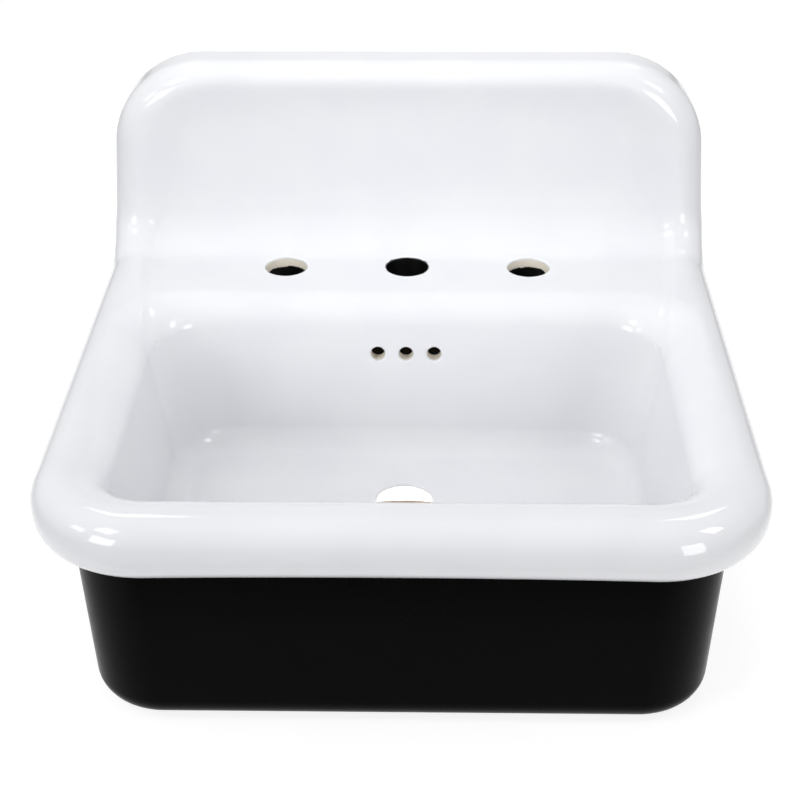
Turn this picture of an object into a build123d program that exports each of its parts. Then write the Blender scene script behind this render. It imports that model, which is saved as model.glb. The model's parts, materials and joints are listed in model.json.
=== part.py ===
from build123d import *
import math
import os

# A high-back fireclay sink that hangs on a wall hanger, in millimetres.
# The wall is the plane y = 0, the front is towards -Y, and z = 0 is the top of the rim.

# Overall size
sink_width = 508.0
sink_depth = 486.0  # from the wall to the front of the rim
wall_gap = 1.0  # fireclay to wall, filled with sealant

# Rolled rim, which runs on up the splashback as its border
rim_height = 47.0
rim_land = 2.0  # flat between the upper and the lower roll
rim_width = 51.0  # outside of the roll to the edge of the basin
front_corner_radius = 85.0
basin_edge_radius = 20.0

# Tap deck
deck_depth = 152.0  # from the wall to the edge of the basin
deck_thickness = 24.0
tap_hole_diameter = 35.0
tap_hole_count = 3
tap_spacing = 101.6
tap_setback = 87.0  # from the wall

# Splashback
splash_height = 155.0
splash_depth = 45.0  # from the wall to the front of the border
splash_corner_radius = 70.0
splash_lean = 4.7  # degrees by which each side leans in
lean_start = 10.0  # height where the sides begin to lean in
lean_blend_radius = 150.0
cove_radius = 32.0
border_width = 38.0  # at the sides of the recessed panel
border_top = 20.0  # above the panel
panel_recess = 3.5
panel_corner_radius = 34.0
panel_thickness = 15.5
parting_height = 36.0  # joint between the splashback and the cove below it
tub_parting = 62.0  # joint between the rim and the tub, below the rim

# Basin
basin_depth = 125.0
basin_draft = 9.5
basin_corner_radius = 48.0
basin_floor_radius = 16.0
floor_fall = 4.0  # fall of the floor's dish to the drain
floor_joint_height = 12.0  # joint between the basin's walls and its floor, above the floor
tub_wall = 12.0
drain_diameter = 45.0
drain_from_back = 101.5  # from the basin's back edge
drain_boss_wall = 20.0

# Overflow
overflow_diameter = 11.5
overflow_spacing = 23.0
overflow_count = 3
overflow_drop = 47.5  # below the rim
duct_channel_depth = 18.0
duct_wall = 7.0
duct_side_room = 5.0  # channel beyond the outer overflow holes
duct_rise = 12.0  # channel above the overflow holes' centres
duct_port_width = 18.0
duct_port_height = 9.0

# Apron
apron_inset = 27.0  # inside the outermost part of the rim
apron_height = 139.0
apron_draft = 2.6
apron_corner_radius = 52.0
apron_bottom_radius = 20.0
apron_wall = 11.0
back_strip_height = 46.0
ledge_width = 68.0  # bottom of the apron beside the service opening
ledge_front = 85.0
ledge_back = 92.0
service_opening_radius = 40.0

# Hollow behind the splashback and under the deck
hollow_side_wall = 50.0
hollow_top_wall = 30.0

# Wall hanger
wall_screw_diameter = 9.0
wall_screw_spacing_x = 280.0
wall_screw_spacing_z = 36.0
rail_end_margin = 30.0  # beyond the wall screws
rail_edge_margin = 14.0
rail_thickness = 5.0
rail_corner_radius = 8.0
hook_inset = 45.0  # hook's middle inside the wall screws
hook_width = 44.0
hook_plate = 4.0
hook_plate_height = 40.0
hook_shelf_height = 14.0  # top of the shelf above the rail's middle
hook_lip_height = 20.0  # above the shelf
hook_bend_radius = 1.5
liner_thickness = 2.0
liner_lip_thickness = 0.8
lug_width = 50.0
lug_nose_thickness = 10.0
lug_nose_radius = 2.0
lug_nose_clearance = 0.2  # to the liner on the lip
lug_rail_clearance = 1.0
lug_shelf_height = 20.0
lug_lip_clearance = 4.0  # above the hook's lip

# Screws that hold each hook to the rail
hook_screw_diameter = 6.0
hook_screw_head_diameter = 10.4
hook_screw_head_height = 3.6
hook_screw_head_radius = 1.5
hook_screw_socket = 4.0  # across the corners
hook_screw_socket_depth = 2.0
hook_screw_spacing = 14.0
hook_screw_drop = 24.0  # middle of the pair below the shelf's top
hook_screw_end_gap = 0.5  # screw's end inside the rail's back face
washer_diameter = 10.6
washer_thickness = 1.6
screw_clearance = 0.1

# Nylon steady bushes in the apron
bush_side_distance = 85.0  # from the apron's side at its top
bush_bore_diameter = 10.5
bush_sleeve_diameter = 14.0
bush_flange_diameter = 22.0
bush_flange_thickness = 2.5
bush_clearance = 0.1

# How far a cut runs past the face that it opens, and the share of the room that a roll may take
overrun = 10.0
roll_share = 0.9

# Places that follow from the sizes above
half_width = sink_width / 2
back = -wall_gap
front = -sink_depth
rim_underside = -rim_height
roll_radius = min((rim_height - rim_land) / 2, roll_share * cove_radius)
basin_roll = min(basin_edge_radius, roll_share * (rim_width - roll_radius))
panel_front = -(splash_depth - panel_recess)
panel_back = panel_front + panel_thickness
panel_reach = splash_depth + 2 * cove_radius
basin_half_width = half_width - rim_width
basin_back = -deck_depth
basin_front = front + rim_width
deck_front = basin_back + tub_wall  # joint between the deck and the rim
basin_slope = math.tan(math.radians(basin_draft))
drain_y = basin_back - drain_from_back
dish_radius = drain_from_back - basin_depth * basin_slope - basin_floor_radius
tub_underside = -basin_depth - tub_wall
floor_parting = -basin_depth + floor_joint_height
boss_radius = drain_diameter / 2 + drain_boss_wall
duct_underside = tub_underside - duct_port_height - duct_wall
duct_top = -overflow_drop + duct_rise + duct_wall
duct_channel_width = (overflow_count - 1) * overflow_spacing + overflow_diameter + 2 * duct_side_room
duct_depth = duct_channel_depth + duct_wall
apron_underside = rim_underside - apron_height
apron_half_width = half_width - apron_inset
apron_front = front + apron_inset
apron_lean = apron_height * math.tan(math.radians(apron_draft))
ledge_top = apron_underside + apron_wall
strip_top = apron_underside + back_strip_height
strip_front = back - apron_wall
bush_x = apron_half_width - bush_side_distance
bush_z = (ledge_top + strip_top) / 2
hook_x = wall_screw_spacing_x / 2 - hook_inset
liner_top = hook_shelf_height + liner_thickness
hook_lip_top = hook_shelf_height + hook_lip_height
hook_plate_front = -rail_thickness - hook_plate
hook_screw_z = hook_shelf_height - hook_screw_drop
washer_front = hook_plate_front - washer_thickness
lug_nose_back = -rail_thickness - lug_rail_clearance
lug_nose_front = lug_nose_back - lug_nose_thickness
liner_lip_back = lug_nose_front - lug_nose_clearance
hook_lip_back = liner_lip_back - liner_lip_thickness
hook_lip_front = hook_lip_back - hook_plate
lug_shelf_bottom = hook_lip_top + lug_lip_clearance
sides = {"left": -1, "right": 1}


def tub_back(height):
    """Y of the tub's outer back wall at a height, which is below the rim and so negative."""
    return basin_back + tub_wall + height * basin_slope


def splash_outline(side_inset, top_inset, corner_radius):
    """Front view of the sink's leaning sides and rounded top, drawn in by the insets."""
    foot = half_width - side_inset
    top = splash_height - top_inset
    head = foot - (top - lean_start) * math.tan(math.radians(splash_lean))
    with BuildSketch(Plane.XZ) as outline:
        with BuildLine():
            FilletPolyline(
                (-foot, rim_underside),
                (-foot, lean_start),
                (-head, top),
                (head, top),
                (foot, lean_start),
                (foot, rim_underside),
                radius=[lean_blend_radius, corner_radius, corner_radius, lean_blend_radius],
            )
            Line((foot, rim_underside), (-foot, rim_underside))
        make_face()
    return outline.sketch


def basin_section(depth, wall):
    """Rounded plan of the basin at a depth below the rim, grown by a wall."""
    shrink = depth * basin_slope - wall
    with BuildSketch(Plane.XY.offset(-depth)) as section:
        with Locations((0, (basin_back + basin_front) / 2)):
            RectangleRounded(
                2 * (basin_half_width - shrink),
                basin_back - basin_front - 2 * shrink,
                basin_corner_radius,
            )
    return section.sketch.face()


def apron_form(inset, height, bottom_radius):
    """Solid skirt with drafted sides and a rounded bottom, drawn in by an inset."""
    with BuildPart() as form:
        with BuildSketch(Plane.XY.offset(rim_underside)) as plan:
            with BuildLine():
                FilletPolyline(
                    (-apron_half_width + inset, back + apron_lean + overrun),
                    (-apron_half_width + inset, apron_front + inset),
                    (apron_half_width - inset, apron_front + inset),
                    (apron_half_width - inset, back + apron_lean + overrun),
                    radius=apron_corner_radius - inset,
                    close=False,
                )
                Line(
                    (apron_half_width - inset, back + apron_lean + overrun),
                    (-apron_half_width + inset, back + apron_lean + overrun),
                )
            make_face()
        extrude(amount=-height, taper=apron_draft)
        split(bisect_by=Plane.XZ.offset(-back), keep=Keep.TOP)
        bottom_edges = form.faces().sort_by(Axis.Z)[0].edges().sort_by(Axis.Y)
        fillet(bottom_edges[:-1], radius=bottom_radius)
    return form.part


# Space inside the basin, with its rounded floor edge and the dish round the drain
with BuildPart() as basin_space:
    loft([basin_section(0, 0), basin_section(basin_depth, 0)], ruled=True)
    fillet(basin_space.faces().sort_by(Axis.Z)[0].edges(), radius=basin_floor_radius)
    with BuildSketch(Plane.YZ) as dish:
        with BuildLine():
            Polyline(
                (drain_y, -basin_depth),
                (drain_y + dish_radius, -basin_depth),
                (drain_y, -basin_depth - floor_fall),
                close=True,
            )
        make_face()
    revolve(axis=Axis((0, drain_y, 0), (0, 0, 1)))

# Outside of the tub, still solid, with the boss that takes the waste
with BuildPart() as tub_form:
    tub_mouth = basin_section(deck_thickness, tub_wall)
    tub_foot = basin_section(-tub_underside, tub_wall)
    loft([tub_mouth, tub_foot], ruled=True)
    fillet(tub_form.faces().sort_by(Axis.Z)[0].edges(), radius=basin_floor_radius + tub_wall / 2)
    with BuildSketch(Plane.XY.offset(duct_underside)):
        with Locations((0, drain_y)):
            Circle(boss_radius)
    extrude(until=Until.NEXT)

# Space in front of the recessed panel, between the borders and down to the deck
with BuildPart() as panel_space:
    with BuildSketch(Plane.YZ) as panel_profile:
        with BuildLine():
            Polyline(
                (panel_front, cove_radius),
                (panel_front, splash_height),
                (-panel_reach, splash_height),
                (-panel_reach, 0),
                (panel_front - cove_radius, 0),
            )
            RadiusArc((panel_front - cove_radius, 0), (panel_front, cove_radius), -cove_radius)
        make_face()
    extrude(amount=half_width, both=True)
    panel_outline = splash_outline(border_width, border_top, panel_corner_radius)
    extrude(panel_outline, amount=panel_reach, mode=Mode.INTERSECT)

# Whole white casting, from which the mouldings are parted
with BuildPart() as casting:
    with BuildSketch(Plane.YZ) as side_profile:
        with BuildLine():
            Polyline(
                (-splash_depth, cove_radius),
                (-splash_depth, splash_height),
                (back, splash_height),
                (back, rim_underside),
                (front, rim_underside),
                (front, 0),
                (-splash_depth - cove_radius, 0),
            )
            RadiusArc((-splash_depth - cove_radius, 0), (-splash_depth, cove_radius), -cove_radius)
        make_face()
    extrude(amount=half_width, both=True)
    casting_outline = splash_outline(0, 0, splash_corner_radius)
    extrude(casting_outline, amount=sink_depth, mode=Mode.INTERSECT)
    front_face = casting.faces().sort_by(Axis.Y)[0]
    fillet(front_face.edges().filter_by(Axis.Z), radius=front_corner_radius)
    # The roll goes round the deck's outline, up the coves and round the splashback.
    deck_face = casting.faces().filter_by(Plane.XY).sort_by(Axis.Z)[1]
    border_face = casting.faces().filter_by(Plane.XZ).sort_by(Axis.Y)[1]
    cove_face = casting.faces().filter_by(GeomType.CYLINDER).sort_by(SortBy.AREA)[-1]
    upper_edges = deck_face.edges() + cove_face.edges() + border_face.edges()
    fillet(upper_edges.filter_by(lambda e: upper_edges.count(e) == 1), radius=roll_radius)
    lower_edges = casting.faces().sort_by(Axis.Z)[0].edges().sort_by(Axis.Y)
    fillet(lower_edges[:-1], radius=roll_radius)
    add(panel_space.part, mode=Mode.SUBTRACT)
    add(tub_form.part)
    add(basin_space.part, mode=Mode.SUBTRACT)
    rim_top = casting.faces().filter_by(Plane.XY).sort_by(lambda f: abs(f.center().Z))[0]
    fillet(rim_top.inner_wires()[0].edges(), radius=basin_roll)
    # One hollow opens behind the splashback and below the deck.
    with BuildSketch(Plane.YZ) as hollow:
        with BuildLine():
            Polyline(
                (overrun, rim_underside - overrun),
                (tub_back(rim_underside), rim_underside - overrun),
                (tub_back(rim_underside), rim_underside),
                (tub_back(-deck_thickness), -deck_thickness),
                (panel_back, -deck_thickness),
                (panel_back, splash_height - hollow_top_wall),
                (overrun, splash_height - hollow_top_wall),
                close=True,
            )
        make_face()
    extrude(amount=half_width - hollow_side_wall, both=True, mode=Mode.SUBTRACT)
    with Locations((0, -tap_setback)):
        with GridLocations(tap_spacing, 0, tap_hole_count, 1):
            Hole(tap_hole_diameter / 2)
    with Locations((0, drain_y)):
        Hole(drain_diameter / 2)
    # Overflow holes, and the port from the duct into the drain
    with BuildSketch(Plane.XZ.offset(-tub_back(-deck_thickness))):
        with Locations((0, -overflow_drop)):
            with GridLocations(overflow_spacing, 0, overflow_count, 1):
                Circle(overflow_diameter / 2)
    extrude(amount=(basin_back - basin_front) / 2, mode=Mode.SUBTRACT)
    with BuildSketch(Plane.XY.offset(tub_underside)):
        with Locations((0, drain_y)):
            Rectangle(duct_port_width, boss_radius + overrun, align=(Align.CENTER, Align.MIN))
    extrude(amount=-duct_port_height, mode=Mode.SUBTRACT)

# Thick ring round the outlet, with its disc of the basin's floor
with BuildPart() as drain_boss:
    add(casting.part)
    with BuildSketch(Plane.XY.offset(duct_underside)):
        with Locations((0, drain_y)):
            Circle(boss_radius)
    extrude(amount=-duct_underside, mode=Mode.INTERSECT)

# Floor with its rounded edge, round the boss
with BuildPart() as basin_floor:
    add(casting.part)
    split(bisect_by=Plane.XY.offset(floor_parting), keep=Keep.BOTTOM)
    add(drain_boss.part, mode=Mode.SUBTRACT)

# Lower walls of the basin
with BuildPart() as tub:
    add(casting.part)
    split(bisect_by=Plane.XY.offset(-tub_parting), keep=Keep.BOTTOM)
    split(bisect_by=Plane.XY.offset(floor_parting), keep=Keep.TOP)

# Ring of the rolled rim and the top of the basin's walls
with BuildPart() as rim:
    add(casting.part)
    split(bisect_by=Plane.XY.offset(-tub_parting), keep=Keep.TOP)
    split(bisect_by=Plane.XZ.offset(-deck_front), keep=Keep.TOP)

# Deck with the cove above it and the walls beside the hollow
with BuildPart() as tap_deck:
    add(casting.part)
    split(bisect_by=Plane.XZ.offset(-deck_front), keep=Keep.BOTTOM)
    split(bisect_by=Plane.XY.offset(-tub_parting), keep=Keep.TOP)
    split(bisect_by=Plane.XY.offset(parting_height), keep=Keep.BOTTOM)

with BuildPart() as splashback:
    add(casting.part)
    split(bisect_by=Plane.XY.offset(parting_height), keep=Keep.TOP)
    # Lugs on the back of the panel, whose noses drop behind the hooks' lips
    for side in sides.values():
        with BuildSketch(Plane.YZ.offset(side * hook_x)):
            with BuildLine():
                FilletPolyline(
                    (panel_back - panel_thickness / 2, lug_shelf_bottom + lug_shelf_height),
                    (panel_back - panel_thickness / 2, lug_shelf_bottom),
                    (lug_nose_front, lug_shelf_bottom),
                    (lug_nose_front, liner_top),
                    (lug_nose_back, liner_top),
                    (lug_nose_back, lug_shelf_bottom + lug_shelf_height),
                    radius=lug_nose_radius,
                    close=True,
                )
            make_face()
        extrude(amount=lug_width / 2, both=True)

# Whole channel on the tub's back and underside, from the overflow holes to the drain
with BuildPart() as overflow_channel:
    with BuildSketch(Plane.YZ):
        with BuildLine():
            Polyline(
                (drain_y, duct_top),
                (tub_back(duct_top) + duct_depth, duct_top),
                (tub_back(duct_underside) + duct_depth, duct_underside),
                (drain_y, duct_underside),
                close=True,
            )
        make_face()
    extrude(amount=duct_channel_width / 2 + duct_wall, both=True)
    with BuildSketch(Plane.YZ):
        with BuildLine():
            Polyline(
                (drain_y, duct_top - duct_wall),
                (tub_back(duct_top - duct_wall) + duct_channel_depth, duct_top - duct_wall),
                (tub_back(duct_underside + duct_wall) + duct_channel_depth, duct_underside + duct_wall),
                (drain_y, duct_underside + duct_wall),
                close=True,
            )
        make_face()
    extrude(amount=duct_channel_width / 2, both=True, mode=Mode.SUBTRACT)
    add(tub_form.part, mode=Mode.SUBTRACT)

# Its upright length behind the tub
with BuildPart() as overflow_duct:
    add(overflow_channel.part)
    split(bisect_by=Plane.XY.offset(tub_underside), keep=Keep.TOP)

# Its tray below the tub's floor
with BuildPart() as overflow_tray:
    add(overflow_channel.part)
    split(bisect_by=Plane.XY.offset(tub_underside), keep=Keep.BOTTOM)

# Space inside the apron: open at the top, and at the back above the lower strip
with BuildPart() as apron_space:
    add(apron_form(apron_wall, apron_height - apron_wall, apron_bottom_radius - apron_wall))
    with BuildSketch(Plane.XZ.offset(-back)):
        with Locations((0, apron_underside)):
            Rectangle(sink_width, back_strip_height, align=(Align.CENTER, Align.MIN))
    extrude(amount=apron_wall, mode=Mode.SUBTRACT)

# Whole skirt, from which the apron and its base are parted
with BuildPart() as skirt:
    add(apron_form(0, apron_height, apron_bottom_radius))
    add(apron_space.part, mode=Mode.SUBTRACT)
    # Service opening in the turned-in bottom, for the waste and its trap
    opening_front = apron_front + apron_lean + ledge_front
    opening_back = back - ledge_back
    with BuildSketch(Plane.XY.offset(apron_underside)):
        with Locations((0, (opening_front + opening_back) / 2)):
            RectangleRounded(
                2 * (apron_half_width - apron_lean - ledge_width),
                opening_back - opening_front,
                service_opening_radius,
            )
    extrude(amount=apron_wall, mode=Mode.SUBTRACT)
    # Seats of the steady bushes
    with BuildSketch(Plane.XZ.offset(-back)):
        with Locations((0, bush_z)):
            with GridLocations(2 * bush_x, 0, 2, 1):
                Circle(bush_sleeve_diameter / 2 + bush_clearance)
    extrude(amount=apron_wall, mode=Mode.SUBTRACT)

with BuildPart() as apron:
    add(skirt.part)
    split(bisect_by=Plane.XY.offset(ledge_top), keep=Keep.TOP)

with BuildPart() as apron_base:
    add(skirt.part)
    split(bisect_by=Plane.XY.offset(ledge_top), keep=Keep.BOTTOM)

with BuildPart() as hanger_rail:
    with BuildSketch(Plane.XZ):
        RectangleRounded(
            wall_screw_spacing_x + 2 * rail_end_margin,
            wall_screw_spacing_z + 2 * rail_edge_margin,
            rail_corner_radius,
        )
        with GridLocations(wall_screw_spacing_x, wall_screw_spacing_z, 2, 2):
            Circle(wall_screw_diameter / 2, mode=Mode.SUBTRACT)
        with Locations((0, hook_screw_z)):
            with GridLocations(2 * hook_x, hook_screw_spacing, 2, 2):
                Circle(hook_screw_diameter / 2 + screw_clearance, mode=Mode.SUBTRACT)
    extrude(amount=rail_thickness)

# Screws and washers in pairs, one pair in each hook's plate
with BuildPart() as hook_screws:
    with Locations(Plane.XZ.offset(-washer_front)):
        with Locations((0, hook_screw_z)):
            with GridLocations(2 * hook_x, hook_screw_spacing, 2, 2):
                Cylinder(
                    hook_screw_head_diameter / 2,
                    hook_screw_head_height,
                    align=(Align.CENTER, Align.CENTER, Align.MIN),
                )
                Cylinder(
                    hook_screw_diameter / 2,
                    -washer_front - hook_screw_end_gap,
                    align=(Align.CENTER, Align.CENTER, Align.MAX),
                )
    head_faces = hook_screws.faces().filter_by(Plane.XZ).group_by(Axis.Y)[0]
    fillet(head_faces.edges(), radius=hook_screw_head_radius)
    with BuildSketch(Plane.XZ.offset(-washer_front + hook_screw_head_height)):
        with Locations((0, hook_screw_z)):
            with GridLocations(2 * hook_x, hook_screw_spacing, 2, 2):
                RegularPolygon(hook_screw_socket / 2, 6)
    extrude(amount=-hook_screw_socket_depth, mode=Mode.SUBTRACT)

with BuildPart() as hook_lock_washers:
    with BuildSketch(Plane.XZ.offset(-hook_plate_front)):
        with Locations((0, hook_screw_z)):
            with GridLocations(2 * hook_x, hook_screw_spacing, 2, 2):
                Circle(washer_diameter / 2)
                Circle(hook_screw_diameter / 2 + screw_clearance, mode=Mode.SUBTRACT)
    extrude(amount=washer_thickness)

pieces = {
    "rim": rim,
    "tap_deck": tap_deck,
    "tub": tub,
    "basin_floor": basin_floor,
    "drain_boss": drain_boss,
    "splashback": splashback,
    "apron": apron,
    "apron_base": apron_base,
    "overflow_duct": overflow_duct,
    "overflow_tray": overflow_tray,
    "hanger_rail": hanger_rail,
    "hook_screws": hook_screws,
    "hook_lock_washers": hook_lock_washers,
}

# Hooks with their liners, and the steady bushes, one of each on each side
for side_name, side in sides.items():
    with BuildPart() as hook:
        with BuildSketch(Plane.YZ.offset(side * hook_x)):
            with BuildLine():
                FilletPolyline(
                    (-rail_thickness, hook_shelf_height - hook_plate_height),
                    (-rail_thickness, hook_shelf_height),
                    (hook_lip_back, hook_shelf_height),
                    (hook_lip_back, hook_lip_top),
                    (hook_lip_front, hook_lip_top),
                    (hook_lip_front, hook_shelf_height - hook_plate),
                    (hook_plate_front, hook_shelf_height - hook_plate),
                    (hook_plate_front, hook_shelf_height - hook_plate_height),
                    radius=hook_bend_radius,
                    close=True,
                )
            make_face()
        extrude(amount=hook_width / 2, both=True)
        with BuildSketch(Plane.XZ):
            with Locations((side * hook_x, hook_screw_z)):
                with GridLocations(0, hook_screw_spacing, 1, 2):
                    Circle(hook_screw_diameter / 2 + screw_clearance)
        extrude(amount=-hook_plate_front, mode=Mode.SUBTRACT)
    pieces[f"hook_{side_name}"] = hook

    with BuildPart() as hook_liner:
        with BuildSketch(Plane.YZ.offset(side * hook_x)):
            with BuildLine():
                liner_path = FilletPolyline(
                    (lug_nose_back, hook_shelf_height),
                    (hook_lip_back, hook_shelf_height),
                    (hook_lip_back, hook_lip_top),
                    radius=hook_bend_radius,
                )
                Polyline(
                    liner_path @ 1,
                    (liner_lip_back, hook_lip_top),
                    (liner_lip_back, liner_top),
                    (lug_nose_back, liner_top),
                    liner_path @ 0,
                )
            make_face()
        extrude(amount=hook_width / 2, both=True)
    pieces[f"hook_liner_{side_name}"] = hook_liner

    with BuildPart() as steady_bush:
        with BuildSketch(Plane.XZ.offset(-strip_front)):
            with Locations((side * bush_x, bush_z)):
                Circle(bush_flange_diameter / 2)
        extrude(amount=bush_flange_thickness)
        with BuildSketch(Plane.XZ.offset(-back)):
            with Locations((side * bush_x, bush_z)):
                Circle(bush_sleeve_diameter / 2)
        extrude(amount=apron_wall)
        with BuildSketch(Plane.XZ.offset(-back)):
            with Locations((side * bush_x, bush_z)):
                Circle(bush_bore_diameter / 2)
        extrude(amount=apron_wall + bush_flange_thickness, mode=Mode.SUBTRACT)
    pieces[f"steady_bush_{side_name}"] = steady_bush

os.makedirs("parts", exist_ok=True)
for name, piece in pieces.items():
    piece.part.label = name
    export_step(piece.part, f"parts/{name}.step")
    print(f"{name}: {piece.part.volume / 1000:.1f} cm3")
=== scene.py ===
# %% [markdown]
# # A high-back fireclay sink on its wall hanger
#
# The real sink is one heavy piece of fireclay. Its rolled rim, basin, tap deck and splashback carry a thick
# white glaze, and the apron below the rim is sprayed satin black. It hangs on steel hooks that nobody sees.
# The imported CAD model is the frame: it fixes every size and place, and this script dresses it.

# %% Load the frame
import json
import math

import bmesh
import bpy
import numpy as np
from mathutils import Matrix, Vector


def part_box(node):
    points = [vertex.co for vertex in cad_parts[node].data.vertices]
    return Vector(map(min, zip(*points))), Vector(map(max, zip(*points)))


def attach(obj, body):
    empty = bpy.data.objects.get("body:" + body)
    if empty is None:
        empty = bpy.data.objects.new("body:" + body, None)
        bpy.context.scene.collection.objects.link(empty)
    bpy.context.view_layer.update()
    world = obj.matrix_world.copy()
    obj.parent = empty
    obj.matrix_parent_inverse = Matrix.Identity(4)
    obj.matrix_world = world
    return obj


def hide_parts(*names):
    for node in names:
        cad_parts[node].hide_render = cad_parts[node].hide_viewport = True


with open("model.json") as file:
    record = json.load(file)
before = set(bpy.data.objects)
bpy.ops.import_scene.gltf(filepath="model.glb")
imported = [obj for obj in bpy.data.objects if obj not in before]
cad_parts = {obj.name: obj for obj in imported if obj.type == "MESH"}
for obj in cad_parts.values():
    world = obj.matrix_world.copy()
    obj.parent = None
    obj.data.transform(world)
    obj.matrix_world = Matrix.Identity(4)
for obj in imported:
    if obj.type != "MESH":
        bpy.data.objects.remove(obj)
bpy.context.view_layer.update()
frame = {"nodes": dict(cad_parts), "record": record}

MM = 0.001

# %% [markdown]
# ## Camera
#
# A product photograph of a sink is taken from well above the rim, so that the basin shows. The camera could be
# placed by eye, but the sink's outline gives it exactly: the lens, the place and the three angles below are the
# ones at which the outline of the solids falls on the outline in the photograph.

# %% Camera
camera_lens_mm = 76.9  # on a 36 mm wide sensor
camera_place_mm = (21.2, -1384.0, 625.5)
camera_pitch, camera_yaw, camera_roll = 30.327, -1.228, -0.305  # degrees; pitch is downwards

pitch, yaw, roll = (math.radians(angle) for angle in (camera_pitch, camera_yaw, camera_roll))
ahead = Vector((math.sin(yaw) * math.cos(pitch), math.cos(yaw) * math.cos(pitch), -math.sin(pitch)))
across = ahead.cross(Vector((0, 0, 1))).normalized()
upward = across.cross(ahead)
right = math.cos(roll) * across + math.sin(roll) * upward
top = math.cos(roll) * upward - math.sin(roll) * across

camera_data = bpy.data.cameras.new("camera")
camera_data.lens = camera_lens_mm
camera_data.sensor_width = 36
camera_data.clip_end = 50
camera = bpy.data.objects.new("camera", camera_data)
turn = Matrix((right, top, -ahead)).transposed().to_4x4()
camera.matrix_world = Matrix.Translation(Vector(camera_place_mm) * MM) @ turn
bpy.context.scene.collection.objects.link(camera)
bpy.context.scene.camera = camera
print("camera at", [round(v, 3) for v in camera.location])

# %% [markdown]
# ## Forms as distance fields
#
# Glaze melts and runs into every corner, so a fired sink has no sharp edge anywhere: rim, deck, cove and basin
# flow into each other. A cage under a subdivision modifier could give that, but the holes would pucker it.
# Here each form is a distance field, a function that says how far a point is outside the form. Two fields can
# be cut or joined with a rounded edge of any radius, which is just what clay and glaze do.

# %% Rounded cuts and joins
def round_cut(a, b, radius):
    """What two forms share, with the edge between them rounded."""
    bulge = np.hypot(np.maximum(radius + a, 0), np.maximum(radius + b, 0))
    return np.minimum(-radius, np.maximum(a, b)) + bulge


def round_join(a, b, radius):
    """Two forms together, with the corner between them filled by a fillet."""
    return -round_cut(-a, -b, radius)


# %% Sizes that the frame gives, in millimetres
def node_box(name):
    """Lowest and highest corner of a CAD node in millimetres."""
    return [np.array(corner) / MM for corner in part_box(name)]


def mount(name):
    """Place and radius of a round mount in millimetres."""
    row = next(row for row in frame["record"]["mounts"] if row["name"] == name)
    return np.array(row["pos_m"]) / MM, row["dims"]["r_mm"]


rim_low, rim_high = node_box("rim")
splash_low, splash_high = node_box("splashback")
boss_low, boss_high = node_box("drain_boss")
apron_low, apron_high = node_box("apron")

half_width = rim_high[0]
rim_front = rim_low[1]
rim_top = rim_high[2]
rim_under = apron_high[2]
back = splash_high[1]
splash_top = splash_high[2]
splash_front = splash_low[1]
tub_under = node_box("basin_floor")[0][2]
apron_under = node_box("apron_base")[0][2]
tap_holes = [mount(f"tap_hole_{place}") for place in ("left", "centre", "right")]
drain_place, drain_radius = mount("drain_hole")
print("sink", 2 * half_width, "mm wide, rim front at", rim_front, "and splashback top at", splash_top)

# %% [markdown]
# ## The white fireclay
#
# The field starts as a side profile, a deck that coves up into the splashback, cut to the sink's outline with
# the big roll round its edge. Then the recessed panel and deck, the basin, the hollow at the back and the holes
# are taken out, each with its own edge radius.

# %% Outline, roll and cove
roll_radius = 22.5
cove_radius = 32.0
front_corner_radius = 85.0
splash_corner_radius = 70.0
side_lean = math.radians(4.7)
lean_start = 10.0  # height above the rim
rim_arch, arch_reach = 2.2, 190.0  # rise of the rim's underside in the middle, and its reach to each side


def leaning_side(x, z):
    """Distance outside the sink's sides, which lean in above the rim."""
    upright = np.abs(x) - half_width
    return np.maximum(upright, upright * math.cos(side_lean) + (z - lean_start) * math.sin(side_lean))


def rolled_body(x, y, z):
    """Solid block of rim and splashback, with the roll all round it."""
    front_view = round_cut(leaning_side(x, z), z - splash_top, splash_corner_radius)
    plan = round_cut(np.abs(x) - half_width, rim_front - y, front_corner_radius)
    profile = round_join(z - rim_top, splash_front - y, cove_radius)
    body = round_cut(profile, np.maximum(front_view, plan), roll_radius)
    arch = rim_arch * (1 - (x / arch_reach) ** 2)
    return round_cut(body, rim_under + arch - z, roll_radius)


# %% Recessed panel and deck
panel_recess = 3.5  # behind the border's front; the rounded edge takes the panel about 5 mm deeper
panel_border_top = 20.0
panel_corner_radius = 46.0
deck_recess = 3.2  # below the top of the rim
deck_fade = (-235.0, -140.0)  # along Y, where the deck rises to the rim again
line_half_width = 226.0  # between the lines at the sides, where panel and deck meet
panel_line_foot, panel_line_lean = 12.0, 0.25  # the lines draw in above this height
deck_line_start, deck_line_lean = -70.0, 0.115  # and in front of this depth
panel_crease_radius, panel_edge_radius = 26.0, 22.0
deck_crease_radius, deck_edge_radius = 12.0, 4.0
panel_rise = (4.0, 50.0)  # heights between which the deck's radii grow to the panel's


def ease(value, low, high):
    """Share from 0 to 1 between two values, eased at both ends."""
    share = np.clip((value - low) / (high - low), 0, 1)
    return share * share * (3 - 2 * share)


def recess(x, y, z):
    """Space in front of the panel and above the deck, between the rolled borders."""
    half_line = line_half_width - panel_line_lean * np.maximum(z - panel_line_foot, 0)
    half_line = half_line - deck_line_lean * np.maximum(deck_line_start - y, 0)
    region = round_cut(np.abs(x) - half_line, z - splash_top + panel_border_top, panel_corner_radius)
    deck_top = rim_top - deck_recess * ease(y, *deck_fade)
    profile = round_join(z - deck_top, splash_front + panel_recess - y, cove_radius)
    crease = deck_crease_radius + (panel_crease_radius - deck_crease_radius) * ease(z, *panel_rise)
    return round_cut(region, -profile, crease)


def recess_edge(y, z):
    """Radius of the edge between the recess and the rolled border; none where the recess has run out."""
    return deck_edge_radius * ease(y, *deck_fade) + (panel_edge_radius - deck_edge_radius) * ease(z, *panel_rise)


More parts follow.
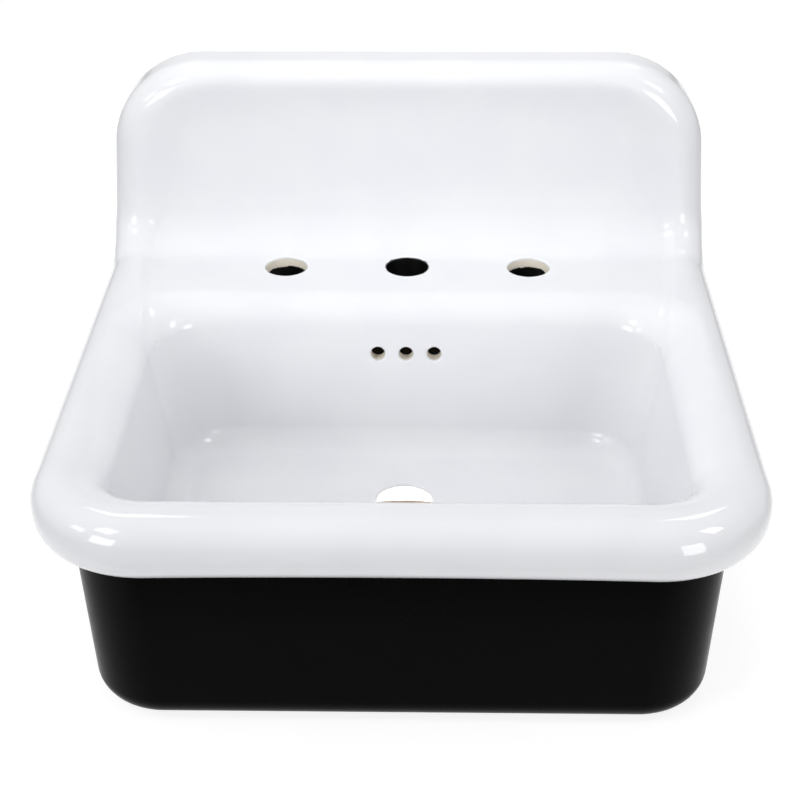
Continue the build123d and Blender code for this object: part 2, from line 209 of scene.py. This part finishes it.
# %% Basin and tub
side_rim_width, front_rim_width = 45.5, 51.0
basin_half_width = half_width - side_rim_width
basin_back, basin_front = -152.0, rim_front + front_rim_width
basin_floor = -125.0
basin_slope, side_slope = math.tan(math.radians(9.5)), math.tan(math.radians(11.5))
basin_corner_radius = 48.0
basin_floor_radius = 16.0
basin_edge_radius, side_edge_radius = 20.0, 28.0
side_edge_span = (150.0, 210.0)  # from the middle, where the edge grows softer towards the sides
floor_fall, dish_radius = 4.0, 60.0
tub_wall = 12.0
tub_top = rim_top - 24.0  # hidden inside the rim
boss_foot_radius = 3.0


def basin_plan(x, y, z):
    """Distance outside the basin's walls, which close in with depth."""
    depth = rim_top - z
    reach_x = np.abs(x) - basin_half_width + depth * side_slope + basin_corner_radius
    reach_y = np.abs(y - (basin_back + basin_front) / 2) - (basin_back - basin_front) / 2
    reach_y = reach_y + depth * basin_slope + basin_corner_radius
    corner = np.hypot(np.maximum(reach_x, 0), np.maximum(reach_y, 0))
    outside = corner + np.minimum(np.maximum(reach_x, reach_y), 0) - basin_corner_radius
    return outside * math.cos(math.atan(basin_slope))


def from_drain(x, y):
    """Distance from the drain's axis."""
    return np.hypot(x - drain_place[0], y - drain_place[1])


def basin(x, y, z):
    """Space inside the basin, with its dished floor."""
    dish = floor_fall * np.exp(-((from_drain(x, y) / dish_radius) ** 2))
    return round_cut(basin_plan(x, y, z), basin_floor - dish - z, basin_floor_radius)


def tub(x, y, z):
    """Clay round the basin below the rim, with the boss round the drain."""
    shell = round_cut(basin_plan(x, y, z) - tub_wall, tub_under - z, basin_floor_radius + tub_wall / 2)
    boss = round_cut(from_drain(x, y) - boss_high[0], boss_low[2] - z, boss_foot_radius)
    return np.maximum(np.minimum(shell, np.maximum(boss, z - basin_floor)), z - tub_top)


# %% Hollow behind, lugs and holes
hollow_half_width = half_width - 50.0
hollow_top = splash_top - 30.0
hollow_radius, hollow_edge_radius = 8.0, 2.0
panel_back = splash_front + 19.0
deck_under = rim_top - 26.0
lug_place, lug_half_width, lug_edge_radius = 95.0, 25.0, 2.0
lug_low, lug_shelf_low, lug_top = 16.0, 38.0, 58.0
lug_back, lug_nose_front = -6.0, -16.0
lug_root = panel_back - 6.0
overflow_radius, overflow_spacing, overflow_height = 5.75, 23.0, -47.5
hole_edge_radius = 1.6
hole_reach = 30.0  # how far a hole's space runs past its middle


def hollow(x, y, z):
    """Space behind the panel and below the deck."""
    behind_panel = round_cut(panel_back - y, z - hollow_top, hollow_radius)
    tub_back = basin_back + tub_wall + (z - rim_top) * basin_slope
    below_deck = round_cut(z - deck_under, tub_back - y, hollow_radius)
    return round_cut(np.abs(x) - hollow_half_width, np.minimum(behind_panel, below_deck), hollow_radius)


def lugs(x, y, z):
    """Two hooked lugs on the back of the panel."""
    across = np.abs(np.abs(x) - lug_place) - lug_half_width
    shelf = np.maximum(lug_root - y, lug_shelf_low - z)
    nose = np.maximum(lug_nose_front - y, lug_low - z)
    outline = np.maximum(np.minimum(shelf, nose), np.maximum(y - lug_back, z - lug_top))
    return round_cut(across, outline, lug_edge_radius)


def tap_hole(x, y, z, place, radius):
    """Space of one tap hole."""
    return np.maximum(np.hypot(x - place[0], y - place[1]) - radius, np.abs(z - place[2]) - hole_reach)


def overflow_hole(x, y, z, step):
    """Space of one overflow hole, counted from the middle one."""
    bore = np.hypot(x - step * overflow_spacing, z - overflow_height) - overflow_radius
    return np.maximum(bore, np.abs(y - basin_back) - hole_reach)


def drain_hole(x, y, z):
    """Space of the drain."""
    return np.maximum(from_drain(x, y) - drain_radius, np.abs(z - drain_place[2]) - hole_reach)


def holes(x, y, z):
    """Space of all the holes."""
    spaces = [drain_hole(x, y, z)]
    spaces += [tap_hole(x, y, z, place, radius) for place, radius in tap_holes]
    spaces += [overflow_hole(x, y, z, step) for step in (-1, 0, 1)]
    return np.minimum.reduce(spaces)


def white_form(x, y, z):
    """The whole white casting."""
    body = round_cut(rolled_body(x, y, z), -recess(x, y, z), recess_edge(y, z))
    softer = ease(np.abs(x), *side_edge_span)
    edge_radius = basin_edge_radius + (side_edge_radius - basin_edge_radius) * softer
    body = round_cut(body, -basin(x, y, z), edge_radius)
    body = round_cut(np.maximum(body, y - back), -hollow(x, y, z), hollow_edge_radius)
    casting = np.minimum(np.minimum(body, lugs(x, y, z)), np.maximum(tub(x, y, z), -basin(x, y, z)))
    return round_cut(casting, -holes(x, y, z), hole_edge_radius)


# %% [markdown]
# ## From a field to a skin
#
# A net of cells is laid over the field. Each cell that the surface passes through gets one point, and each grid
# line that crosses the surface joins the four points round it into a face. The points are then evened out and
# dropped exactly onto the surface, and edges that bend too much are halved, so that small radii get more faces.
# The field's slope gives exact normals, so that the gloss shows no facets.

# %% Net, settling and refining
def slope_of(form, points):
    """Direction in which a field grows fastest, at each point."""
    nudge = 0.01
    columns = []
    for axis in range(3):
        offset = np.zeros(3)
        offset[axis] = nudge
        columns.append((form(*(points + offset).T) - form(*(points - offset).T)) / (2 * nudge))
    return np.stack(columns, 1)


def settle(form, points, passes=3):
    """Drops points onto a field's surface along its slope."""
    for _ in range(passes):
        slope = slope_of(form, points)
        square = np.maximum((slope * slope).sum(1), 0.05)
        shift = np.clip(form(*points.T) / square, -4, 4)
        points = points - slope * shift[:, None]
    return points


def net_over(form, low, high, cell):
    """Points and faces of a field's surface on a grid of cells."""
    axes = [np.arange(a - 1.7 * cell, b + 2.7 * cell, cell) for a, b in zip(low, high)]
    value = form(*np.meshgrid(*axes, indexing="ij", sparse=True))
    inside = value < 0
    sums = np.zeros((value.size, 3))
    counts = np.zeros(value.size)
    faces = []
    for axis in range(3):
        ends = [slice(None)] * 3
        ends[axis] = slice(1, None)
        starts = [slice(None)] * 3
        starts[axis] = slice(None, -1)
        here = np.array(np.nonzero(inside[tuple(starts)] != inside[tuple(ends)]))
        there = here.copy()
        there[axis] += 1
        first, second = value[tuple(here)], value[tuple(there)]
        points = np.stack([axes[i][here[i]] for i in range(3)], 1)
        points[:, axis] += cell * first / (first - second)
        corners = []
        for u_step, v_step in ((0, 0), (-1, 0), (-1, -1), (0, -1)):
            cell_index = here.copy()
            cell_index[(axis + 1) % 3] += u_step
            cell_index[(axis + 2) % 3] += v_step
            flat = np.ravel_multi_index(cell_index, value.shape)
            corners.append(flat)
            counts += np.bincount(flat, minlength=value.size)
            for i in range(3):
                sums[:, i] += np.bincount(flat, points[:, i], minlength=value.size)
        quads = np.stack(corners, 1)
        quads[first > 0] = quads[first > 0][:, ::-1]
        faces.append(quads)
    used = np.flatnonzero(counts)
    renumber = np.full(value.size, -1)
    renumber[used] = np.arange(len(used))
    return sums[used] / counts[used, None], renumber[np.concatenate(faces)]


def even_out(form, points, faces, passes):
    """Moves each point halfway to the middle of its neighbours, and back onto the surface."""
    pairs = np.concatenate([faces[:, [i, (i + 1) % 4]] for i in range(4)])
    neighbours = np.bincount(pairs[:, 0], minlength=len(points))
    for _ in range(passes):
        middle = np.stack([np.bincount(pairs[:, 0], points[pairs[:, 1], i], len(points)) for i in range(3)], 1)
        points = settle(form, (points + middle / neighbours[:, None]) / 2, 1)
    return settle(form, points)


def halve(mesh, form, choose):
    """Halves the edges that a chooser picks, and drops all points onto the surface."""
    work = bmesh.new()
    work.from_mesh(mesh)
    bmesh.ops.subdivide_edges(work, edges=[edge for edge in work.edges if choose(edge)], cuts=1, use_grid_fill=True)
    work.to_mesh(mesh)
    work.free()
    points = settle(form, np.array([vertex.co for vertex in mesh.vertices]))
    mesh.vertices.foreach_set("co", points.astype(np.float32).ravel())
    return points


def unit_slope(form, points):
    """Normal of a field's surface at each point."""
    slope = slope_of(form, points)
    return slope / np.maximum(np.linalg.norm(slope, axis=1, keepdims=True), 1e-9)


fine_reach = 2.5  # millimetres from a hole's wall, within which the mesh is finer


def skin(name, form, low, high, cell, bends, fine=None, fine_lengths=()):
    """Object with a field's surface as its mesh, with edges halved where they bend, and near a finer field."""
    points, faces = net_over(form, low, high, cell)
    points = even_out(form, points, faces, 6)
    mesh = bpy.data.meshes.new(name)
    mesh.from_pydata(points, [], faces)
    for bend in bends:
        normal, limit = unit_slope(form, points), math.cos(math.radians(bend))
        points = halve(mesh, form, lambda e: normal[e.verts[0].index] @ normal[e.verts[1].index] < limit)
    for length in fine_lengths:
        near = np.abs(fine(*points.T)) < fine_reach
        points = halve(mesh, form, lambda e: all(near[v.index] for v in e.verts) and e.calc_length() > length)
    normal = unit_slope(form, points)
    mesh.transform(Matrix.Scale(MM, 4))
    mesh.shade_smooth()
    mesh.normals_split_custom_set_from_vertices(normal)
    piece = bpy.data.objects.new(name, mesh)
    bpy.context.scene.collection.objects.link(piece)
    print(name, "has", len(mesh.polygons), "faces")
    return piece


net_cell = 5.0  # millimetres
casting = skin("white_fireclay", white_form, (-half_width, rim_front, boss_low[2]), (half_width, back, splash_top),
               net_cell, (11, 16, 22), holes, (1.8, 1.4))  # bends in degrees, fine edges in millimetres
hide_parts("rim", "tap_deck", "tub", "basin_floor", "drain_boss", "splashback")
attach(casting, "sink")

# %% [markdown]
# ## The black apron
#
# The apron is a skirt pressed in its own mould: straight walls with a little draft, round corners, and a bottom
# that turns in and leaves a wide opening for the trap. The same method makes it.

# %% Apron
apron_draft = math.tan(math.radians(2.6))
apron_lean = (rim_under - apron_under) * apron_draft
apron_corner_radius = 52.0
apron_bottom_radius = 20.0
apron_wall = 11.0
apron_edge_radius = 1.5
strip_top = apron_under + 46.0
opening_half_width = apron_high[0] - apron_lean - 68.0
opening_front, opening_back = apron_low[1] + apron_lean + 85.0, back - 92.0
opening_radius, opening_edge_radius = 40.0, 2.5
bush_places = [mount(f"steady_bush_{place}")[0] for place in ("left", "right")]
bush_seat_radius, bush_seat_edge_radius = 7.1, 0.6


def skirt(x, y, z, inset):
    """Solid skirt with drafted sides and a rounded bottom, drawn in by an inset."""
    shrink = (rim_under - z) * apron_draft + inset
    plan = round_cut(np.abs(x) - apron_high[0] + shrink, apron_low[1] + shrink - y, apron_corner_radius - inset)
    return round_cut(plan, apron_under + inset - z, apron_bottom_radius - inset)


def apron_form(x, y, z):
    """Hollow skirt with its lower back strip, service opening and bush seats."""
    strip = np.maximum(back - apron_wall - y, z - strip_top)
    room = np.maximum(skirt(x, y, z, apron_wall), -strip)
    shell = round_cut(np.maximum(skirt(x, y, z, 0), y - back), -room, apron_edge_radius)
    opening = round_cut(np.abs(x) - opening_half_width,
                        np.maximum(opening_front - y, y - opening_back), opening_radius)
    shell = round_cut(shell, -np.maximum(opening, z - apron_under - 2 * apron_wall), opening_edge_radius)
    for place in bush_places:
        seat = np.hypot(x - place[0], z - place[2]) - bush_seat_radius
        shell = round_cut(shell, -np.maximum(seat, back - 2 * apron_wall - y), bush_seat_edge_radius)
    return np.maximum(shell, z - rim_under - 2 * rim_arch)


apron = skin("black_apron", apron_form, (*apron_low[:2], apron_under), apron_high, net_cell, (11, 16))
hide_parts("apron", "apron_base")
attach(apron, "sink")

# %% [markdown]
# ## Materials
#
# Every finish here is a recipe of noise patterns, sized in millimetres on the piece itself. Photographs wrapped
# round the piece would be quicker, but they would show seams and could not follow the glaze over an edge.
# One function adds a node and feeds its inputs, and one turns an sRGB colour code into linear light.

# %% Colour, nodes and patterns
def linear(code):
    """Linear colour of an sRGB code such as #f4f4f1."""
    parts = [int(code[i:i + 2], 16) / 255 for i in (1, 3, 5)]
    return (*[part / 12.92 if part <= 0.04045 else ((part + 0.055) / 1.055) ** 2.4 for part in parts], 1)


def add(tree, kind, inputs, **settings):
    """Adds a node; an input takes a value or another node's output."""
    node = tree.nodes.new(kind)
    for name, value in settings.items():
        setattr(node, name, value)
    for key, value in inputs.items():
        if isinstance(value, bpy.types.NodeSocket):
            tree.links.new(value, node.inputs[key])
        else:
            node.inputs[key].default_value = value
    return node


def start(name):
    """New material: its tree, its shader and the place on the piece in millimetres."""
    material = bpy.data.materials.new(name)
    material.use_nodes = True
    tree = material.node_tree
    place = add(tree, "ShaderNodeTexCoord", {}).outputs["Object"]
    place = add(tree, "ShaderNodeVectorMath", {0: place, "Scale": 1 / MM}, operation="SCALE").outputs[0]
    return material, tree, tree.nodes["Principled BSDF"], place


def noise(tree, place, size, detail=2.0):
    """Soft cloud between 0 and 1, with lumps of a size in millimetres."""
    inputs = {"Vector": place, "Scale": 1 / size, "Detail": detail}
    return add(tree, "ShaderNodeTexNoise", inputs).outputs[0]


def spread(tree, value, low, high, to_low, to_high):
    """Value from one range brought to another, eased at both ends and held beyond them."""
    inputs = {0: value, 1: low, 2: high, 3: to_low, 4: to_high}
    return add(tree, "ShaderNodeMapRange", inputs, interpolation_type="SMOOTHSTEP").outputs[0]


def blend(tree, share, first, second):
    """Colour between two, by a share."""
    inputs = {0: share, 6: first, 7: second}
    return add(tree, "ShaderNodeMix", inputs, data_type="RGBA").outputs[2]


def relief(tree, height, depth, below=None):
    """Normal for a surface whose height pattern is so many millimetres deep."""
    inputs = {"Height": height, "Distance": depth * MM, "Strength": 1.0}
    if below:
        inputs["Normal"] = below
    return add(tree, "ShaderNodeBump", inputs).outputs[0]


def feed(tree, shader, **inputs):
    """Feeds the shader's inputs, named with _ for a space."""
    for key, value in inputs.items():
        socket = shader.inputs[key.replace("_", " ")]
        if isinstance(value, bpy.types.NodeSocket):
            tree.links.new(value, socket)
        else:
            socket.default_value = value


print("patterns are sized in millimetres;", linear("#808080")[0], "is the linear value of mid grey")

# %% [markdown]
# ### White glaze
#
# Glaze is sprayed on the dry clay and fired to a thick glass. It levels well but not wholly: a slow waviness and
# a fine orange peel stay in it, which make each reflection a little soft at its edge. Where the coat is thicker
# it is whiter. Glass has an index of about 1.5, and a fired gloss is nearly smooth.

# %% White glaze
glaze_white, glaze_thin = linear("#e2e3e6"), linear("#e0e1e5")

white_glaze, tree, shader, place = start("sprayed_white_glaze")
thickness = spread(tree, noise(tree, place, 55), 0.35, 0.65, 0, 1)
waviness = relief(tree, noise(tree, place, 28, 1.0), 0.012)
orange_peel = relief(tree, noise(tree, place, 5), 0.001, waviness)
feed(tree, shader, Base_Color=blend(tree, thickness, glaze_thin, glaze_white), IOR=1.5, Normal=orange_peel,
     Roughness=spread(tree, noise(tree, place, 18), 0.3, 0.7, 0.02, 0.035))
print(white_glaze.name)

# %% [markdown]
# ### Clay and overspray inside the holes
#
# The holes are cut before the glaze goes on, and the glaze draws back from their edges. Behind it the cream clay
# stays bare, and where the black coat was sprayed from below, it wanders up the wall of the hole. The drain's wall is
# painted a lighter white than the glaze, as painted light where the drain lies in shade, down to a thin brown band
# that begins along a slanting line. Each hole is a stack of bands along its depth, with an uneven line between one
# band and the next.

# %% Banded walls
clay_cream, drain_band_brown, coat_black = linear("#f0e9db"), linear("#8a745c"), linear("#050505")
glaze_gloss, clay_gloss, coat_gloss = 0.06, 0.8, 0.35
drain_way, drain_brown_start = (0, -0.504, -0.863), 240.4  # the brown band in the drain begins along a slanting line


def banded(name, along, first, bands, lump):
    """Material in bands along a direction: a first finish, then (start, wander, softness, finish) in millimetres."""
    material, tree, shader, place = start(name)
    depth = add(tree, "ShaderNodeVectorMath", {0: place, 1: along}, operation="DOT_PRODUCT").outputs["Value"]
    stray = spread(tree, noise(tree, place, lump, 3.0), 0.25, 0.75, -1, 1)
    grain = noise(tree, place, 0.9, 3.0)
    colour, roughness = first
    for begin, wander, softness, (band_colour, band_roughness) in bands:
        strayed = add(tree, "ShaderNodeMath", {0: stray, 1: wander, 2: depth}, operation="MULTIPLY_ADD").outputs[0]
        share = spread(tree, strayed, begin - softness, begin + softness, 0, 1)
        shade = (*[0.88 * part for part in band_colour[:3]], 1)
        dusty = blend(tree, spread(tree, grain, 0.3, 0.7, 0, 1), shade, band_colour)
        colour = blend(tree, share, colour, dusty)
        roughness = add(tree, "ShaderNodeMix", {0: share, 2: roughness, 3: band_roughness}).outputs[0]
    feed(tree, shader, Base_Color=colour, Roughness=roughness)
    return material


down, inward = (0, 0, -1), (0, 1, 0)
glazed, bare, coated = (glaze_white, glaze_gloss), (clay_cream, clay_gloss), (coat_black, coat_gloss)
glaze_end = deck_recess + hole_edge_radius + 0.3
side_tap_wall = banded("clay_and_overspray_side", down, glazed,
                       [(glaze_end, 0.2, 0.3, bare), (glaze_end + 6.8, 1.1, 0.3, coated)], 9)
centre_tap_wall = banded("clay_and_overspray_centre", down, glazed, [(glaze_end - 1.5, 0.2, 0.3, coated)], 9)
overflow_mouth = basin_back + (overflow_height - rim_top) * basin_slope
overflow_wall = banded("bare_clay_overflow", inward, glazed, [(overflow_mouth + hole_edge_radius, 0.3, 0.5, bare)], 4)
# painted light: the drain's wall is a lighter white than the glaze, so that the shaded drain looks bright
drain_painted_light_white = (linear("#fafafa"), glaze_gloss)
drain_wall = banded("drain_with_painted_light", drain_way, drain_painted_light_white, [(drain_brown_start, 0.2, 0.3, (drain_band_brown, clay_gloss))], 6)
reverse = banded("bare_clay_reverse", down, bare, [(-18, 14, 22, coated)], 45)
print(len(tap_holes), "tap holes and their clay walls")

# %% [markdown]
# ### Satin black coat
#
# The apron's black is sprayed and dries to a satin skin. It drinks nearly all light: only a faint sheen is left,
# which grows towards the edges that turn away. Its fine spray grain breaks the sheen up.

# %% Satin black coat
black_coat, tree, shader, place = start("sprayed_satin_black_coat")
spray_grain = relief(tree, noise(tree, place, 0.7, 3.0), 0.006)
flow = relief(tree, noise(tree, place, 22), 0.03, spray_grain)
feed(tree, shader, Base_Color=blend(tree, noise(tree, place, 30), linear("#020202"), linear("#040404")), IOR=1.11,
     Normal=flow, Roughness=spread(tree, noise(tree, place, 14), 0.3, 0.7, 0.22, 0.28))
print(black_coat.name)

# %% Finish of each face of the fireclay
def dress(piece, finishes, chooser):
    """Gives a piece its finishes, and each face the one that a chooser picks for its middle."""
    mesh = piece.data
    for finish in finishes:
        mesh.materials.append(finish)
    middles = np.empty(3 * len(mesh.polygons))
    mesh.polygons.foreach_get("center", middles)
    mesh.polygons.foreach_set("material_index", chooser(*(middles.reshape(-1, 3) / MM).T).astype(np.int32))


def fireclay_finish(x, y, z):
    """Index of the finish at a point of the white casting."""
    on = 0.4  # millimetres within which a point counts as on a surface
    edge = hole_edge_radius + on
    hidden = (hollow(x, y, z) < hollow_edge_radius + on) | (y > back - on) | (lugs(x, y, z) < on)
    hidden |= (basin(x, y, z) > tub_wall / 2) & (z < rim_under + rim_arch + on) & (skirt(x, y, z, 0) < 0)
    index = np.where(hidden, 5, 0)
    for number, (hole_place, radius) in enumerate(tap_holes):
        index[tap_hole(x, y, z, hole_place, radius) < edge] = 2 if number == 1 else 1
    for step in (-1, 0, 1):
        index[overflow_hole(x, y, z, step) < edge] = 3
    index[drain_hole(x, y, z) < on] = 4
    return index


dress(casting, [white_glaze, side_tap_wall, centre_tap_wall, overflow_wall, drain_wall, reverse], fireclay_finish)
apron.data.materials.append(black_coat)
print("finishes on the casting:", [material.name for material in casting.data.materials])

# %% [markdown]
# ### Hidden pieces
#
# The duct is bare fireclay, luted on and fired with the rest. It is painted a dark brown, darker than the cream clay,
# as painted shade inside it, and darkest where the overflow holes open into it, so that they look black. The hanger
# is pressed steel with a zinc plating, whose clear passivation gives a faint blue and yellow cast. Liners are moulded
# rubber and bushes moulded nylon.

# %% Bare fireclay, zinc, rubber and nylon
# painted shade: the duct is a darker brown than the cream clay, and darkest down to 75 mm below the rim, round the
# overflow holes
duct_darkest_painted_shade, duct_painted_shade_brown = (linear("#2e241c"), clay_gloss), (linear("#75604b"), clay_gloss)
shade_band_depth = 75.0  # millimetres below the rim
bare_clay = banded("fired_bare_fireclay_painted_shade", down, duct_darkest_painted_shade, [(shade_band_depth, 8, 14, duct_painted_shade_brown)], 30)

zinc, tree, shader, place = start("bright_zinc_plating")
cast = spread(tree, noise(tree, place, 16), 0.2, 0.8, 0, 1)
feed(tree, shader, Base_Color=blend(tree, cast, linear("#b6b9bd"), linear("#bdbcb8")), Metallic=1.0,
     Roughness=spread(tree, noise(tree, place, 3, 4.0), 0.3, 0.7, 0.26, 0.42),
     Normal=relief(tree, noise(tree, place, 1.2), 0.006))

rubber, tree, shader, place = start("moulded_black_rubber")
bloom = spread(tree, noise(tree, place, 7), 0.4, 0.7, 0, 1)
feed(tree, shader, Base_Color=blend(tree, bloom, linear("#1b1b1b"), linear("#2a2a29")), Roughness=0.75, IOR=1.5,
     Normal=relief(tree, noise(tree, place, 0.8), 0.02))

nylon, tree, shader, place = start("moulded_natural_nylon")
milk = spread(tree, noise(tree, place, 9), 0.35, 0.65, 0, 1)
feed(tree, shader, Base_Color=blend(tree, milk, linear("#e3ddcb"), linear("#ece8da")), Roughness=0.42, IOR=1.53,
     Normal=relief(tree, noise(tree, place, 1.5), 0.008))

hidden_finishes = {
    bare_clay: ["overflow_duct", "overflow_tray"],
    zinc: ["hanger_rail", "hook_left", "hook_right", "hook_screws", "hook_lock_washers"],
    rubber: ["hook_liner_left", "hook_liner_right"],
    nylon: ["steady_bush_left", "steady_bush_right"],
}
for finish, names in hidden_finishes.items():
    for name in names:
        frame["nodes"][name].data.materials.clear()
        frame["nodes"][name].data.materials.append(finish)
    print(finish.name, "on", ", ".join(names))

# %% [markdown]
# ## Floor and light
#
# The photograph's ground is pure white and holds no shadow, as when an object stands on a back-lit sheet of
# acrylic. The glaze is a mirror for the lamps, so each highlight on a rolled corner tells where a lamp stood:
# two broad ones low in front, smaller ones at the left and high on both sides, and two behind. Four fill lamps
# lift the deck, the cove, the panel and the drain. They give no reflection, because the photograph shows none.
# A pale room, a little brighter at its sides than in front and behind, fills the basin.

# %% Floor
floor_mesh = bpy.data.meshes.new("floor")
floor_mesh.from_pydata([(-6, -6, 0), (6, -6, 0), (6, 6, 0), (-6, 6, 0)], [], [(0, 1, 2, 3)])
floor = bpy.data.objects.new("floor", floor_mesh)
floor.location.z = (apron_under - 0.5) * MM
bpy.context.scene.collection.objects.link(floor)
sheet_front, sheet_half_width, sheet_flare = -545.0, 285.0, 0.2  # millimetres; wider by the flare towards the back
front_fade, side_fade = 70.0, 350.0  # millimetres over which the glow ends
sheet_glow, outer_glow = 0.8, 0.1

acrylic, tree, shader, place = start("back_lit_acrylic")
axes = add(tree, "ShaderNodeSeparateXYZ", {0: place}).outputs
behind = add(tree, "ShaderNodeMath", {0: axes[1], 1: sheet_front}, operation="SUBTRACT").outputs[0]
aside = add(tree, "ShaderNodeMath", {0: axes[0]}, operation="ABSOLUTE").outputs[0]
reach = add(tree, "ShaderNodeMath", {0: behind, 1: sheet_flare, 2: sheet_half_width}, operation="MULTIPLY_ADD")
within = add(tree, "ShaderNodeMath", {0: reach.outputs[0], 1: aside}, operation="SUBTRACT").outputs[0]
share = add(tree, "ShaderNodeMath", {0: spread(tree, behind, -front_fade, 0, 0, 1),
                                     1: spread(tree, within, -side_fade, 0, 0, 1)}, operation="MULTIPLY").outputs[0]
glow = add(tree, "ShaderNodeMath", {0: share, 1: sheet_glow - outer_glow, 2: outer_glow}, operation="MULTIPLY_ADD")
tint = blend(tree, noise(tree, place, 400), linear("#a0a0a0"), linear("#a4a4a4"))
feed(tree, shader, Base_Color=tint, Roughness=0.9, IOR=1.1, Emission_Color=(1, 1, 1, 1),
     Emission_Strength=glow.outputs[0])
floor_mesh.materials.append(acrylic)

# %% Lamps
lamp_distance = 1.7  # metres
lamp_target = Vector((0, -0.25, 0))


def softbox(name, azimuth, elevation, width, height, radiance, distance=lamp_distance, target=lamp_target):
    """Soft lamp in a direction from its target: azimuth from the front towards the right, and elevation."""
    turn, rise = math.radians(azimuth), math.radians(elevation)
    way = Vector((math.sin(turn) * math.cos(rise), -math.cos(turn) * math.cos(rise), math.sin(rise)))
    light = bpy.data.lights.new(name, "AREA")
    light.shape = "RECTANGLE"
    light.size, light.size_y = width, height
    light.energy = radiance * math.pi * width * height
    lamp = bpy.data.objects.new(name, light)
    lamp.location = target + distance * way
    lamp.rotation_euler = (-way).to_track_quat("-Z", "Y").to_euler()
    bpy.context.scene.collection.objects.link(lamp)
    return lamp


softbox("front_left", -42, 18, 0.55, 0.55, 5.9)
softbox("front_right", 37, 9, 0.5, 0.8, 5.5)
softbox("side_left", -67, 26, 0.3, 0.3, 4.0)
softbox("high_left", -52, 46, 0.35, 0.4, 6.2)
softbox("high_right", 68, 41, 0.3, 0.5, 6.3)
softbox("behind_left", -150, 50, 0.3, 0.3, 4.5)
softbox("behind_right", 146, 50, 0.35, 0.3, 4.5)
over_deck = softbox("over_deck", 180, 83.8, 0.6, 0.3, 9.0, 1.21)
over_cove = softbox("over_cove", 180, 88.5, 0.5, 0.1, 1.8, 0.78, Vector((0, -0.08, 0.02)))
on_panel = softbox("on_panel", 0, 25.3, 0.5, 0.3, 0.35, 1.29, Vector((0, -0.04, 0.05)))
drain_mouth = Vector((0, drain_place[1] + 10, boss_low[2])) * MM  # a little behind the middle
under_drain = softbox("under_drain", 0, -90, 0.05, 0.05, 8.0, 0.03, drain_mouth)
on_panel.data.spread, under_drain.data.spread = math.radians(30), math.radians(80)
for lamp in (over_deck, over_cove, on_panel, under_drain):
    lamp.visible_glossy = False

# %% Room
room_lobes = [  # direction, sharpness, radiance
    ((0, -1, 0), 2, 0.35),
    ((0, 1, 0), 2, 0.55),
    ((-1, 0, 0), 2, 0.71),
    ((1, 0, 0), 2, 0.75),
    ((0, 0.71, 0.71), 4, 0.12),
    ((-0.71, 0, 0.71), 4, 0.43),
]
room = bpy.data.worlds.new("pale_room")
room.use_nodes = True
tree = room.node_tree
way = add(tree, "ShaderNodeTexCoord", {}).outputs["Generated"]
fill = 0.0
for direction, sharpness, radiance in room_lobes:
    facing = add(tree, "ShaderNodeVectorMath", {0: way, 1: direction}, operation="DOT_PRODUCT").outputs["Value"]
    facing = add(tree, "ShaderNodeMath", {0: facing, 1: 0.0}, operation="MAXIMUM").outputs[0]
    lobe = add(tree, "ShaderNodeMath", {0: facing, 1: sharpness}, operation="POWER").outputs[0]
    fill = add(tree, "ShaderNodeMath", {0: lobe, 1: radiance, 2: fill}, operation="MULTIPLY_ADD").outputs[0]
tree.links.new(fill, tree.nodes["Background"].inputs["Strength"])
tree.nodes["Background"].inputs["Color"].default_value = linear("#ffffff")
bpy.context.scene.world = room
bpy.context.scene.view_settings.view_transform = "Standard"
print("room lit from", len(room_lobes), "directions")
